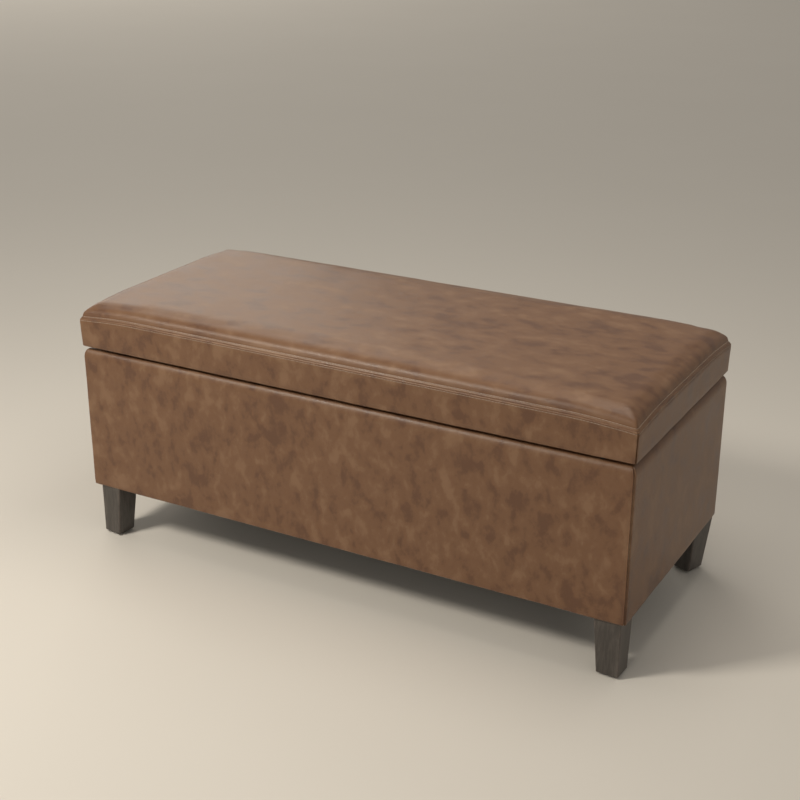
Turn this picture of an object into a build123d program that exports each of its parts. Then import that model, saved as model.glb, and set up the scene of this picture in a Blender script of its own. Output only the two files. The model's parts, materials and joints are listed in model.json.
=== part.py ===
"""Upholstered storage bench: a padded box on four tapered legs, with a hinged, boxed cushion lid.

Millimetres. The origin is the centre of the footprint on the floor, +X runs along the bench to
its right-hand end, -Y is the front and +Z is up. The lid is closed.
"""
import os
from math import cos, radians, sin

from build123d import *

os.makedirs("parts", exist_ok=True)

# ---- Overall sizes ----------------------------------------------------------------------------
bench_length = 1100.0
bench_depth = 465.0
leg_height = 104.5  # floor to the underside of the body
body_height = 280.0
lid_gap = 5.5  # body top to lid underside
lid_band_height = 60.0  # lid underside to the seam round its top
lid_crown_height = 26.0  # seam to the top of the seat

# ---- Walls, from the outside in ---------------------------------------------------------------
cover_thickness = 1.2
padding_thickness = 7.8
panel_thickness = 12.0
lining_thickness = 1.2
dust_cover_thickness = 0.8
body_bottom_round = 4.0
cover_turn_under = 18.0  # width of the cover's hem under the body
cover_turn_in = 30.0  # height of the cover's hem inside the box

# ---- Base -------------------------------------------------------------------------------------
base_thickness = 9.0
cleat_width = 20.0
block_height = 30.0
block_width = 70.0
base_play = 0.5  # between the base and each wall

# ---- Legs: side, end, distances of the bolt in from the frame's inner faces, turn in degrees ---
# Each leg is screwed in by hand, so each stops at its own angle.
legs = {
    "front_left": (-1, -1, 17.5, 9.0, -7.0),
    "front_right": (1, -1, 11.0, 9.0, 87.5),
    "back_left": (-1, 1, 14.0, 9.0, 274.0),
    "back_right": (1, 1, 10.0, 9.5, -19.5),
}
leg_top_width = 49.0
leg_foot_width = 40.0
leg_corner_round = 3.0
leg_foot_chamfer = 1.5
glide_height = 3.0
glide_radius = 14.0
glide_pin_radius = 1.5
glide_pin_length = 14.0
bolt_radius = 4.0
bolt_depth_in_leg = 40.0
bolt_reach_in_block = 18.0
insert_radius = 5.5
insert_length = 20.0

# ---- Lid --------------------------------------------------------------------------------------
lid_board_thickness = 12.0
lid_side_foam = 5.0  # foam wrapped over the edges of the lid board
lid_crown_roll = 24.0
lid_bottom_round = 3.5
lid_hem_width = 24.0

# ---- Hinges -----------------------------------------------------------------------------------
hinge_inset = 180.0  # end of the bench to the middle of an outer hinge
hinge_length = 60.0
hinge_leaf_thickness = 1.5
hinge_play = 0.5  # the barrel is this much thinner than the gap
hinge_pin_radius = 1.2
pin_clearance = 0.05
knuckle_gap = 0.5
knuckle_clearance = 1.0
hinge_screw_pitch = 20.0
lid_opening = 95.0  # degrees

# ---- Lid stays --------------------------------------------------------------------------------
# The pivot on the lid and the stud on the wall are equally far from the hinge axis, so the slotted
# arm turns exactly half as far as the lid.
arm_floor_gap = 17.0  # end of a closed arm to the floor lining
stay_pivot_angle = -5.0  # seen from the hinge axis, from level towards the front
stay_stud_angle = -35.0
arm_width = 18.0
arm_thickness = 2.0
arm_end_margin = 11.0  # beyond the end of the slot
slide_clearance = 0.3
stud_radius = 3.0
stud_head_radius = 6.0
stud_head_thickness = 1.5
stay_plate_thickness = 2.0
stay_plate_width = 22.0
stay_plate_height = 46.0
stay_plate_screw_pitch = 32.0
arm_gap = 0.6  # between the arm and each plate beside it
pivot_radius = 2.5
pivot_head_radius = 4.5
pivot_head_thickness = 1.2
bracket_width = 20.0
bracket_length = 28.0
bracket_screw_pitch = 11.0

# ---- Small hardware ---------------------------------------------------------------------------
fit_clearance = 0.1
contact_clearance = 0.3
bumper_radius = 5.0
bumper_round = 1.0
bumper_inset = 60.0
panel_screw_radius = 2.0
panel_screw_head_radius = 4.0
panel_screw_length = 40.0
panel_screws_per_corner = 3
panel_screw_margin = 50.0  # from the top and bottom edges of a panel
small_screw_radius = 1.5
small_screw_head_radius = 2.8
hinge_screw_length = 16.0
board_screw_length = 10.0

# ---- Levels and faces that follow -------------------------------------------------------------
skin_thickness = cover_thickness + padding_thickness
wall_thickness = skin_thickness + panel_thickness
body_top = leg_height + body_height
panel_bottom = leg_height + cover_thickness
panel_top = body_top - cover_thickness
panel_height = panel_top - panel_bottom
inner_length = bench_length - 2 * wall_thickness
inner_depth = bench_depth - 2 * wall_thickness
base_bottom = panel_bottom + block_height
floor_top = base_bottom + base_thickness + lining_thickness
lid_bottom = body_top + lid_gap
board_bottom = lid_bottom + cover_thickness
lid_seam = lid_bottom + lid_band_height
lid_top = lid_seam + lid_crown_height
lid_lining_bottom = board_bottom - lining_thickness
edge_centre = skin_thickness + panel_thickness / 2  # middle of a panel's top edge, from outside

walls = {
    "front": (0, bench_depth / 2, bench_length),
    "right": (90, bench_length / 2, bench_depth),
    "back": (180, bench_depth / 2, bench_length),
    "left": (270, bench_length / 2, bench_depth),
}


def along(turn):
    """Direction along a wall that faces `turn` degrees round from the front."""
    return Vector(cos(radians(turn)), sin(radians(turn)), 0)


def inward(turn):
    """Direction from a wall towards the middle of the bench."""
    return Vector(-sin(radians(turn)), cos(radians(turn)), 0)


def section_plane(turn, reach, height):
    """Plane across a wall: x runs inward from the outer face, y up, z along the wall."""
    return Plane(origin=inward(turn) * -reach + Vector(0, 0, height), x_dir=inward(turn),
                 z_dir=along(turn))


def face_plane(turn, reach, height):
    """Plane on an upright face: x runs along the wall, y up, z outward."""
    return Plane(origin=inward(turn) * -reach + Vector(0, 0, height), x_dir=along(turn),
                 z_dir=inward(turn) * -1)


def rectangle_between(low, high, mode=Mode.ADD):
    """Sketch rectangle given by two corners."""
    with Locations(((low[0] + high[0]) / 2, (low[1] + high[1]) / 2)):
        Rectangle(high[0] - low[0], high[1] - low[1], mode=mode)


def outer_corners(sketch, top):
    """The vertex of a wall section that lies on the outer face, at its top or its bottom."""
    return sketch.vertices().group_by(Axis.X)[0].sort_by(Axis.Y)[-1 if top else 0]


def mitre_ends(turn, reach, run):
    """Cut both ends of the open part at 45 degrees, where it meets the walls beside it."""
    for side in (-1, 1):
        outward_end = along(turn) * side
        corner = outward_end * (run / 2) - inward(turn) * reach
        split(bisect_by=Plane(origin=corner, z_dir=outward_end + inward(turn)), keep=Keep.BOTTOM)


def drill(places, radius, head_radius, length):
    """Countersunk holes in the open part, each from its place's plane down."""
    with Locations(*places):
        CounterSinkHole(radius=radius + fit_clearance, counter_sink_radius=head_radius + fit_clearance,
                        depth=length + fit_clearance)


def screw_group(label, places, radius, head_radius, length):
    """Countersunk screws, each with its head flush with its place's plane."""
    with BuildPart() as screws:
        with Locations(*places):
            Cylinder(radius, length, align=(Align.CENTER, Align.CENTER, Align.MAX))
            Cone(radius, head_radius, head_radius - radius,
                 align=(Align.CENTER, Align.CENTER, Align.MAX))
    save(screws, label)


def save(piece, label):
    """Label a finished piece and write it to its own file."""
    piece.part.label = label
    export_step(piece.part, "parts/" + label + ".step")


# ---- Places of the screws, shared by each screw and every hole that it passes -----------------
panel_rows = [panel_screw_margin - panel_height / 2
              + row * (panel_height - 2 * panel_screw_margin) / (panel_screws_per_corner - 1)
              for row in range(panel_screws_per_corner)]
panel_screw_places = {
    name: [face_plane(walls[name][0], bench_depth / 2 - skin_thickness, leg_height + body_height / 2)
           * Location((side * (inner_length + panel_thickness) / 2, row, 0))
           for side in (-1, 1) for row in panel_rows]
    for name in ("front", "back")
}

hinge_axis_y = bench_depth / 2 - (lid_gap - hinge_play) / 2
hinge_axis_z = body_top + lid_gap / 2
hinge_centres = {
    "left": hinge_inset - bench_length / 2,
    "middle": 0.0,
    "right": bench_length / 2 - hinge_inset,
}
hinge_screw_xs = [centre + step * hinge_screw_pitch
                  for centre in hinge_centres.values() for step in (-1, 0, 1)]
hinge_screw_y = bench_depth / 2 - edge_centre
body_hinge_places = [Location(Plane(origin=(x, hinge_screw_y, body_top + hinge_leaf_thickness)))
                     for x in hinge_screw_xs]
lid_hinge_places = [Location(Plane(origin=(x, hinge_screw_y, lid_bottom - hinge_leaf_thickness),
                                   z_dir=(0, 0, -1))) for x in hinge_screw_xs]


# The distance from the hinge axis to the pivot and to the stud is what lets the closed arm, which
# is as long as its open span, hang down to arm_floor_gap above the floor.
stay_spread = stay_pivot_angle - stay_stud_angle
arm_slope = radians(90 + (stay_pivot_angle + stay_stud_angle) / 2)  # below level, closed
open_chord = 2 * sin(radians((stay_spread + lid_opening) / 2))  # open span over the reach
arm_beyond_stud = stud_radius + 2 * slide_clearance + arm_end_margin
arm_drop = hinge_axis_z - floor_top - arm_floor_gap
stay_reach = ((arm_drop - arm_beyond_stud * sin(arm_slope))
              / (open_chord * sin(arm_slope) - sin(radians(stay_pivot_angle))))


def stay_point(angle):
    """Y and z of a point seen from the hinge axis, at an angle from level towards the front."""
    return (hinge_axis_y - stay_reach * cos(radians(angle)),
            hinge_axis_z + stay_reach * sin(radians(angle)))


stay_wall = bench_length / 2 - wall_thickness - max(lining_thickness, cover_thickness)
plate_wall = bench_length / 2 - wall_thickness - lining_thickness
arm_offset = stay_plate_thickness + arm_gap  # stay_wall to the arm's outer face
ear_offset = arm_offset + arm_thickness + arm_gap
pivot_y, pivot_z = stay_point(stay_pivot_angle)
stud_y, stud_z = stay_point(stay_stud_angle)
closed_span = 2 * stay_reach * sin(radians(stay_spread / 2))
open_span = open_chord * stay_reach
slot_start = closed_span - slide_clearance
slot_end = open_span + slide_clearance
arm_length = open_span + arm_beyond_stud

sides = {"left": -1, "right": 1}


def stay_plane(side, offset, y=pivot_y, z=pivot_z):
    """Plane parallel to an end wall, `offset` in from its inner face; z points inward."""
    return Plane(origin=(side * (stay_wall - offset), y, z), x_dir=(0, -side, 0),
                 z_dir=(-side, 0, 0))


def stud_screw_places(side):
    """Heads of the two screws that hold a stud plate to the wall."""
    plane = Plane(origin=(side * (plate_wall - stay_plate_thickness), stud_y, stud_z),
                  x_dir=(0, -side, 0), z_dir=(-side, 0, 0))
    return [plane * Location((0, end * stay_plate_screw_pitch / 2, 0)) for end in (-1, 1)]


def bracket_screw_places(side):
    """Heads of the two screws that hold a stay bracket to the lid board."""
    middle = side * (stay_wall - ear_offset - bracket_length / 2 - arm_thickness / 2)
    return [Location(Plane(origin=(middle + end * bracket_screw_pitch / 2, pivot_y,
                                   lid_lining_bottom - stay_plate_thickness), z_dir=(0, 0, -1)))
            for end in (-1, 1)]


stud_screws = [place for side in sides.values() for place in stud_screw_places(side)]
bracket_screws = [place for side in sides.values() for place in bracket_screw_places(side)]


def leg_centre(name):
    """X and y of a leg's bolt."""
    side, end, side_setback, end_setback = legs[name][:4]
    return side * (inner_length / 2 - side_setback), end * (inner_depth / 2 - end_setback)


leg_centres = [leg_centre(name) for name in legs]

# ---- Wooden frame -----------------------------------------------------------------------------
for name in ("front", "back"):
    turn, reach, run = walls[name]
    panel_plane = face_plane(turn, reach - skin_thickness, leg_height + body_height / 2)
    with BuildPart() as panel:
        with BuildSketch(panel_plane):
            Rectangle(run - 2 * skin_thickness, panel_height)
        extrude(amount=-panel_thickness)
        drill(panel_screw_places[name], panel_screw_radius, panel_screw_head_radius,
              panel_screw_length)
        if name == "back":
            drill(body_hinge_places, small_screw_radius, small_screw_head_radius,
                  hinge_screw_length)
    save(panel, name + "_panel")

for name in ("left", "right"):
    turn, reach, run = walls[name]
    panel_plane = face_plane(turn, reach - skin_thickness, leg_height + body_height / 2)
    with BuildPart() as panel:
        with BuildSketch(panel_plane):
            Rectangle(run - 2 * wall_thickness, panel_height)
        extrude(amount=-panel_thickness)
        for places in panel_screw_places.values():
            drill(places, panel_screw_radius, panel_screw_head_radius, panel_screw_length)
        drill(stud_screw_places(sides[name]), small_screw_radius, small_screw_head_radius,
              board_screw_length)
    save(panel, name + "_panel")

with BuildPart() as corner_blocks:
    with BuildSketch(Plane.XY.offset(panel_bottom)):
        with GridLocations(inner_length - block_width, inner_depth - block_width, 2, 2):
            Rectangle(block_width, block_width)
    extrude(amount=block_height)
    with BuildSketch(Plane.XY.offset(panel_bottom)):
        with Locations(*leg_centres):
            Circle(insert_radius + fit_clearance)
    extrude(amount=insert_length, mode=Mode.SUBTRACT)
save(corner_blocks, "corner_blocks")

with BuildPart() as base_cleats:
    with BuildSketch(Plane.XY.offset(panel_bottom)):
        with GridLocations(1, inner_depth - cleat_width, 1, 2):
            Rectangle(inner_length - 2 * block_width, cleat_width)
        with GridLocations(inner_length - cleat_width, 1, 2, 1):
            Rectangle(cleat_width, inner_depth - 2 * block_width)
    extrude(amount=block_height)
save(base_cleats, "base_cleats")

with BuildPart() as base_panel:
    with BuildSketch(Plane.XY.offset(base_bottom)):
        Rectangle(inner_length - 2 * base_play, inner_depth - 2 * base_play)
    extrude(amount=base_thickness)
save(base_panel, "base_panel")

# ---- Body padding and covers, mitred at the upright corners -----------------------------------
for name, (turn, reach, run) in walls.items():
    with BuildPart() as padding:
        with BuildSketch(section_plane(turn, reach, leg_height)) as outline:
            rectangle_between((cover_thickness, cover_thickness),
                              (skin_thickness, body_height - cover_thickness))
            fillet(outer_corners(outline, top=True), padding_thickness - fit_clearance)
            fillet(outer_corners(outline, top=False), body_bottom_round - cover_thickness)
        extrude(amount=run / 2, both=True)
        mitre_ends(turn, reach, run)
    save(padding, name + "_padding")

    with BuildPart() as cover:
        with BuildSketch(section_plane(turn, reach, leg_height)) as outline:
            rectangle_between((0, 0), (wall_thickness + cover_thickness, body_height))
            fillet(outer_corners(outline, top=True), skin_thickness - fit_clearance)
            fillet(outer_corners(outline, top=False), body_bottom_round)
        extrude(amount=run / 2, both=True)
        with BuildSketch(section_plane(turn, reach, leg_height)) as core:
            rectangle_between((cover_thickness, cover_thickness),
                              (wall_thickness, body_height - cover_thickness))
            fillet(outer_corners(core, top=True), padding_thickness - fit_clearance)
            fillet(outer_corners(core, top=False), body_bottom_round - cover_thickness)
        extrude(amount=run / 2, both=True, mode=Mode.SUBTRACT)
        with BuildSketch(section_plane(turn, reach, leg_height)):
            rectangle_between((cover_turn_under, 0),
                              (wall_thickness + cover_thickness, body_height - cover_turn_in))
        extrude(amount=run / 2, both=True, mode=Mode.SUBTRACT)
        mitre_ends(turn, reach, run)
        if name == "back":
            drill(body_hinge_places, small_screw_radius, small_screw_head_radius,
                  hinge_screw_length)
    save(cover, name + "_cover")

# ---- Linings and dust cover -------------------------------------------------------------------
lining_top = body_top - cover_turn_in
with BuildPart() as wall_lining:
    with BuildSketch(Plane.XY.offset(floor_top)):
        Rectangle(inner_length, inner_depth)
        Rectangle(inner_length - 2 * lining_thickness, inner_depth - 2 * lining_thickness,
                  mode=Mode.SUBTRACT)
    extrude(amount=lining_top - floor_top)
    drill(stud_screws, small_screw_radius, small_screw_head_radius, board_screw_length)
save(wall_lining, "wall_lining")

with BuildPart() as floor_lining:
    with BuildSketch(Plane.XY.offset(floor_top - lining_thickness)):
        Rectangle(inner_length - 2 * base_play, inner_depth - 2 * base_play)
    extrude(amount=lining_thickness)
save(floor_lining, "floor_lining")

with BuildPart() as dust_cover:
    with BuildSketch(Plane.XY.offset(panel_bottom - dust_cover_thickness)):
        Rectangle(bench_length - 2 * cover_turn_under, bench_depth - 2 * cover_turn_under)
        with Locations(*leg_centres):
            Circle(bolt_radius + fit_clearance, mode=Mode.SUBTRACT)
    extrude(amount=dust_cover_thickness)
save(dust_cover, "dust_cover")

# ---- Legs, glides, bolts and inserts ----------------------------------------------------------
taper_shift = (leg_top_width - leg_foot_width) / 2
for name in legs:
    turn = legs[name][4]
    leg_x, leg_y = leg_centre(name)
    foot_plane = Plane(origin=(leg_x, leg_y, glide_height),
                       x_dir=(cos(radians(turn)), sin(radians(turn)), 0), z_dir=(0, 0, 1))
    with BuildPart() as leg:
        with BuildSketch(foot_plane):
            with Locations((-taper_shift, -taper_shift)):
                RectangleRounded(leg_foot_width, leg_foot_width, leg_corner_round)
        with BuildSketch(foot_plane.offset(leg_height - glide_height)):
            RectangleRounded(leg_top_width, leg_top_width, leg_corner_round)
        loft()
        chamfer(leg.faces().sort_by(Axis.Z)[0].edges(), leg_foot_chamfer)
        with Locations(foot_plane.offset(leg_height - glide_height)):
            Hole(radius=bolt_radius + fit_clearance, depth=bolt_depth_in_leg + fit_clearance)
        with BuildSketch(foot_plane):
            with Locations((-taper_shift, -taper_shift)):
                Circle(glide_pin_radius + fit_clearance)
        extrude(amount=glide_pin_length + fit_clearance, mode=Mode.SUBTRACT)
    save(leg, "leg_" + name)

with BuildPart() as leg_glides:
    for name in legs:
        turn = legs[name][4]
        leg_x, leg_y = leg_centre(name)
        floor_plane = Plane(origin=(leg_x, leg_y, 0),
                            x_dir=(cos(radians(turn)), sin(radians(turn)), 0), z_dir=(0, 0, 1))
        with BuildSketch(floor_plane):
            with Locations((-taper_shift, -taper_shift)):
                Circle(glide_radius)
        extrude(amount=glide_height)
        with BuildSketch(floor_plane):
            with Locations((-taper_shift, -taper_shift)):
                Circle(glide_pin_radius)
        extrude(amount=glide_height + glide_pin_length)
    chamfer(leg_glides.faces().group_by(Axis.Z)[0].edges(), glide_height / 4)
save(leg_glides, "leg_glides")

with BuildPart() as leg_bolts:
    with BuildSketch(Plane.XY.offset(leg_height - bolt_depth_in_leg)):
        with Locations(*leg_centres):
            Circle(bolt_radius)
    extrude(amount=bolt_depth_in_leg + cover_thickness + bolt_reach_in_block)
save(leg_bolts, "leg_bolts")

with BuildPart() as leg_inserts:
    with BuildSketch(Plane.XY.offset(panel_bottom)):
        with Locations(*leg_centres):
            Circle(insert_radius)
            Circle(bolt_radius + fit_clearance, mode=Mode.SUBTRACT)
    extrude(amount=insert_length)
save(leg_inserts, "leg_inserts")

# ---- Lid: board, foam, boxed cover and lining -------------------------------------------------
board_edge = cover_thickness + lid_side_foam
with BuildPart() as lid_board:
    with BuildSketch(Plane.XY.offset(board_bottom)):
        Rectangle(bench_length - 2 * board_edge, bench_depth - 2 * board_edge)
    extrude(amount=lid_board_thickness)
    drill(lid_hinge_places, small_screw_radius, small_screw_head_radius, board_screw_length)
    drill(bracket_screws, small_screw_radius, small_screw_head_radius, board_screw_length)
save(lid_board, "lid_board")

with BuildPart() as lid_foam:
    with BuildSketch(Plane.XY.offset(board_bottom)):
        Rectangle(bench_length - 2 * cover_thickness, bench_depth - 2 * cover_thickness)
    extrude(amount=lid_top - cover_thickness - board_bottom)
    fillet(lid_foam.faces().sort_by(Axis.Z)[-1].edges(), lid_crown_roll - cover_thickness)
    fillet(lid_foam.faces().sort_by(Axis.Z)[0].edges(), lid_bottom_round - cover_thickness)
    with BuildSketch(Plane.XY.offset(board_bottom)):
        Rectangle(bench_length - 2 * board_edge, bench_depth - 2 * board_edge)
    extrude(amount=lid_board_thickness, mode=Mode.SUBTRACT)
save(lid_foam, "lid_foam")

with BuildPart() as lid_top_cover:
    with BuildSketch(Plane.XY.offset(lid_seam)):
        Rectangle(bench_length, bench_depth)
    extrude(amount=lid_crown_height)
    fillet(lid_top_cover.faces().sort_by(Axis.Z)[-1].edges(), lid_crown_roll)
    with BuildPart(mode=Mode.PRIVATE) as crown_core:
        with BuildSketch(Plane.XY.offset(lid_seam)):
            Rectangle(bench_length - 2 * cover_thickness, bench_depth - 2 * cover_thickness)
        extrude(amount=lid_crown_height - cover_thickness)
        fillet(crown_core.faces().sort_by(Axis.Z)[-1].edges(), lid_crown_roll - cover_thickness)
    add(crown_core.part, mode=Mode.SUBTRACT)
save(lid_top_cover, "lid_top_cover")

for name, (turn, reach, run) in walls.items():
    with BuildPart() as band:
        with BuildSketch(section_plane(turn, reach, lid_bottom)) as outline:
            rectangle_between((0, 0), (lid_hem_width, lid_band_height))
            fillet(outer_corners(outline, top=False), lid_bottom_round)
        extrude(amount=run / 2, both=True)
        with BuildSketch(section_plane(turn, reach, lid_bottom)) as core:
            rectangle_between((cover_thickness, cover_thickness), (lid_hem_width, lid_band_height))
            fillet(outer_corners(core, top=False), lid_bottom_round - cover_thickness)
        extrude(amount=run / 2, both=True, mode=Mode.SUBTRACT)
        mitre_ends(turn, reach, run)
        if name == "back":
            drill(lid_hinge_places, small_screw_radius, small_screw_head_radius,
                  board_screw_length)
    save(band, "lid_" + name + "_band")

with BuildPart() as lid_lining:
    with BuildSketch(Plane.XY.offset(lid_lining_bottom)):
        Rectangle(bench_length - 2 * lid_hem_width, bench_depth - 2 * lid_hem_width)
    extrude(amount=lining_thickness)
    drill(bracket_screws, small_screw_radius, small_screw_head_radius, board_screw_length)
save(lid_lining, "lid_lining")

with BuildPart() as lid_bumpers:
    with BuildSketch(Plane.XY.offset(body_top)):
        with Locations(*[(side * (bench_length / 2 - bumper_inset), edge_centre - bench_depth / 2)
                         for side in sides.values()]):
            Circle(bumper_radius)
    extrude(amount=lid_gap - contact_clearance)
    fillet(lid_bumpers.faces().group_by(Axis.Z)[-1].edges(), bumper_round)
save(lid_bumpers, "lid_bumpers")

# ---- Hinges: three knuckles each, the outer two on the body -----------------------------------
barrel_radius = (lid_gap - hinge_play) / 2
knuckle_length = (hinge_length - 2 * knuckle_gap) / 3
knuckle_pitch = knuckle_length + knuckle_gap
leaf_edge_y = bench_depth / 2 - wall_thickness
leaf_body_end = hinge_axis_y - barrel_radius - knuckle_clearance


def hinge_leaf(centre, knuckle_steps, leaf_bottom, screw_places):
    """One leaf with its knuckles and screw holes."""
    with BuildPart() as leaf:
        with BuildSketch(Plane.XY.offset(leaf_bottom)):
            rectangle_between((centre - hinge_length / 2, leaf_edge_y),
                              (centre + hinge_length / 2, leaf_body_end))
            for step in knuckle_steps:
                middle = centre + step * knuckle_pitch
                rectangle_between((middle - knuckle_length / 2, leaf_body_end - knuckle_clearance),
                                  (middle + knuckle_length / 2, hinge_axis_y))
        extrude(amount=hinge_leaf_thickness)
        for step in knuckle_steps:
            start = centre + step * knuckle_pitch - knuckle_length / 2
            with BuildSketch(Plane(origin=(start, hinge_axis_y, hinge_axis_z), z_dir=(1, 0, 0))):
                Circle(barrel_radius)
            extrude(amount=knuckle_length)
        with BuildSketch(Plane(origin=(centre, hinge_axis_y, hinge_axis_z), z_dir=(1, 0, 0))):
            Circle(hinge_pin_radius + pin_clearance)
        extrude(amount=hinge_length, both=True, mode=Mode.SUBTRACT)
        drill(screw_places, small_screw_radius, small_screw_head_radius, board_screw_length)
    return leaf


for name, centre in hinge_centres.items():
    save(hinge_leaf(centre, (-1, 1), body_top, body_hinge_places), "hinge_" + name + "_body_leaf")
    save(hinge_leaf(centre, (0,), lid_bottom - hinge_leaf_thickness, lid_hinge_places),
         "hinge_" + name + "_lid_leaf")
    with BuildPart() as pin:
        with BuildSketch(Plane(origin=(centre, hinge_axis_y, hinge_axis_z), z_dir=(1, 0, 0))):
            Circle(hinge_pin_radius)
        extrude(amount=hinge_length / 2, both=True)
    save(pin, "hinge_" + name + "_pin")

# ---- Lid stays --------------------------------------------------------------------------------
arm_direction = (0, stud_y - pivot_y, stud_z - pivot_z)
for name, side in sides.items():
    with BuildPart() as arm:
        arm_plane = Plane(origin=(side * (stay_wall - arm_offset), pivot_y, pivot_z),
                          x_dir=arm_direction, z_dir=(-side, 0, 0))
        with BuildSketch(arm_plane):
            with Locations(((arm_length - arm_width / 2) / 2, 0)):
                SlotCenterToCenter(arm_length - arm_width / 2, arm_width)
            Circle(pivot_radius + pin_clearance, mode=Mode.SUBTRACT)
            with Locations(((slot_start + slot_end) / 2, 0)):
                SlotCenterToCenter(slot_end - slot_start, 2 * (stud_radius + slide_clearance),
                                   mode=Mode.SUBTRACT)
        extrude(amount=arm_thickness)
    save(arm, "stay_" + name + "_arm")

    with BuildPart() as stud_plate:
        with BuildSketch(stay_plane(side, stay_wall - plate_wall, stud_y, stud_z)):
            SlotCenterToCenter(stay_plate_height - stay_plate_width, stay_plate_width, rotation=90)
        extrude(amount=stay_plate_thickness)
        drill(stud_screw_places(side), small_screw_radius, small_screw_head_radius,
              board_screw_length)
        with BuildSketch(stay_plane(side, arm_offset - arm_gap, stud_y, stud_z)):
            Circle(stud_radius)
        extrude(amount=arm_thickness + 2 * arm_gap)
        with BuildSketch(stay_plane(side, ear_offset, stud_y, stud_z)):
            Circle(stud_head_radius)
        extrude(amount=stud_head_thickness)
    save(stud_plate, "stay_" + name + "_stud_plate")

    with BuildPart() as bracket:
        ear_height = lid_lining_bottom - pivot_z
        with BuildSketch(stay_plane(side, ear_offset)):
            Circle(bracket_width / 2)
            rectangle_between((-bracket_width / 2, 0), (bracket_width / 2, ear_height))
            Circle(pivot_radius + fit_clearance, mode=Mode.SUBTRACT)
        extrude(amount=arm_thickness)
        ear_face = stay_wall - ear_offset
        with BuildSketch(Plane.XY.offset(lid_lining_bottom - stay_plate_thickness)):
            with Locations((side * (ear_face - bracket_length / 2), pivot_y)):
                Rectangle(bracket_length, bracket_width)
        extrude(amount=stay_plate_thickness)
        drill(bracket_screw_places(side), small_screw_radius, small_screw_head_radius,
              board_screw_length)
    save(bracket, "stay_" + name + "_lid_bracket")

    with BuildPart() as pivot:
        with BuildSketch(stay_plane(side, arm_offset - arm_gap / 2 - pivot_head_thickness)):
            Circle(pivot_head_radius)
        extrude(amount=pivot_head_thickness)
        with BuildSketch(stay_plane(side, arm_offset - arm_gap / 2)):
            Circle(pivot_radius)
        extrude(amount=arm_gap / 2 + arm_thickness + arm_gap + arm_thickness)
        with BuildSketch(stay_plane(side, ear_offset + arm_thickness)):
            Circle(pivot_head_radius)
        extrude(amount=pivot_head_thickness)
    save(pivot, "stay_" + name + "_pivot")

# ---- Screws -----------------------------------------------------------------------------------
screw_group("panel_screws", panel_screw_places["front"] + panel_screw_places["back"],
            panel_screw_radius, panel_screw_head_radius, panel_screw_length)
screw_group("body_hinge_screws", body_hinge_places, small_screw_radius, small_screw_head_radius,
            hinge_screw_length)
screw_group("lid_hinge_screws", lid_hinge_places, small_screw_radius, small_screw_head_radius,
            board_screw_length)
screw_group("stud_plate_screws", stud_screws, small_screw_radius, small_screw_head_radius,
            board_screw_length)
screw_group("bracket_screws", bracket_screws, small_screw_radius, small_screw_head_radius,
            board_screw_length)
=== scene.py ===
"""Upholstered storage bench: leather covers, stitched cushion lid and linings round its frame."""
import json
import math

import bmesh
import bpy
from bpy.props import FloatProperty, FloatVectorProperty, PointerProperty
from bpy.types import Operator, Panel, PropertyGroup
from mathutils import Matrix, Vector


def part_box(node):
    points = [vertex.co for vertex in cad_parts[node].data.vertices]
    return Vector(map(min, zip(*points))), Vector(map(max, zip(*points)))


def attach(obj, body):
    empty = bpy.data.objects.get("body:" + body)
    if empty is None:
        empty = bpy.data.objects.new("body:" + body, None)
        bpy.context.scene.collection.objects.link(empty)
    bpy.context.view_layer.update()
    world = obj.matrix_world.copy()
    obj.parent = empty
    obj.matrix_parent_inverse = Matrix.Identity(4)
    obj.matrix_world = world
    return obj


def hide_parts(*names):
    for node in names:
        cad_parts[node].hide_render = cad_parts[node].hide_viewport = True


bl_info = {
    "name": "Storage Bench",
    "version": (1, 0, 0),
    "blender": (4, 5, 0),
    "location": "3D View > Sidebar > Bench",
    "description": "Upholstered storage bench with a hinged cushion lid",
    "category": "Object",
}

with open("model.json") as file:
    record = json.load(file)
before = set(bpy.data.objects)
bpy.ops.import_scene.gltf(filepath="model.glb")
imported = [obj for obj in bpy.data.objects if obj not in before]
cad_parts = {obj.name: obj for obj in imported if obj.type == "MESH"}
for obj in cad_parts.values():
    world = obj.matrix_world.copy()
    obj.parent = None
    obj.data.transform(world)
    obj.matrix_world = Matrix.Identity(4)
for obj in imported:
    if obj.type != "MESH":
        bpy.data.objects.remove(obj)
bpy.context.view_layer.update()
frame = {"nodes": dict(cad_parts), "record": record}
WALLS = ("front", "right", "back", "left")
TINY = 0.00005           # two places nearer than this are the same place

ROUND_STEPS = 8          # facets across an upright corner or a roll
EDGE_STEPS = 4           # facets across a small round along a bottom edge
ROLL_CLEARANCE = 1.03    # a corner is first rounded this much wider than the roll that meets it
COVER_ROWS = 22          # level lines round the walls of leather
BAND_ROWS = 4            # level lines round the bands
FOAM_ROWS = 6            # level lines round the foam
FELT_ROWS = 12           # level lines round the felt
CLOTH_GRID = 0.014       # spacing of the cross lines on leather and felt
FOAM_GRID = 0.04         # spacing of the cross lines on foam
SEAM_REACH = 0.010       # how near the outside a corner seam is drawn in
SEAM_MARGIN = 0.002      # how far past a hem its corner seam is marked
FOAM_SEAM_REACH = 0.02   # how far in the foam's corner seam is marked
FOAM_ROLL_LESS = 0.002   # how much tighter the foam's roll is than the leather's
SEAT_FOAM_GAP = 0.0013   # from the inside of the seat's leather to its foam
FOAM_GAP = 0.0005        # from the seat's foam to the hem below it and the board in it
POCKET_GAP = 0.0003      # from the top of the board to the foam above it
LEAN_REACH = 1.3         # the lean ends this many times a stitch row's distance from the seam
HELD_REACH = 1.6         # the seat's leather is held as far up as this many times that distance
BOW_BELOW = 0.75         # share of the seam's bow that lies below its level
SINK = 0.15              # how far the leather may sink, as a share of how far it may swell
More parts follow.
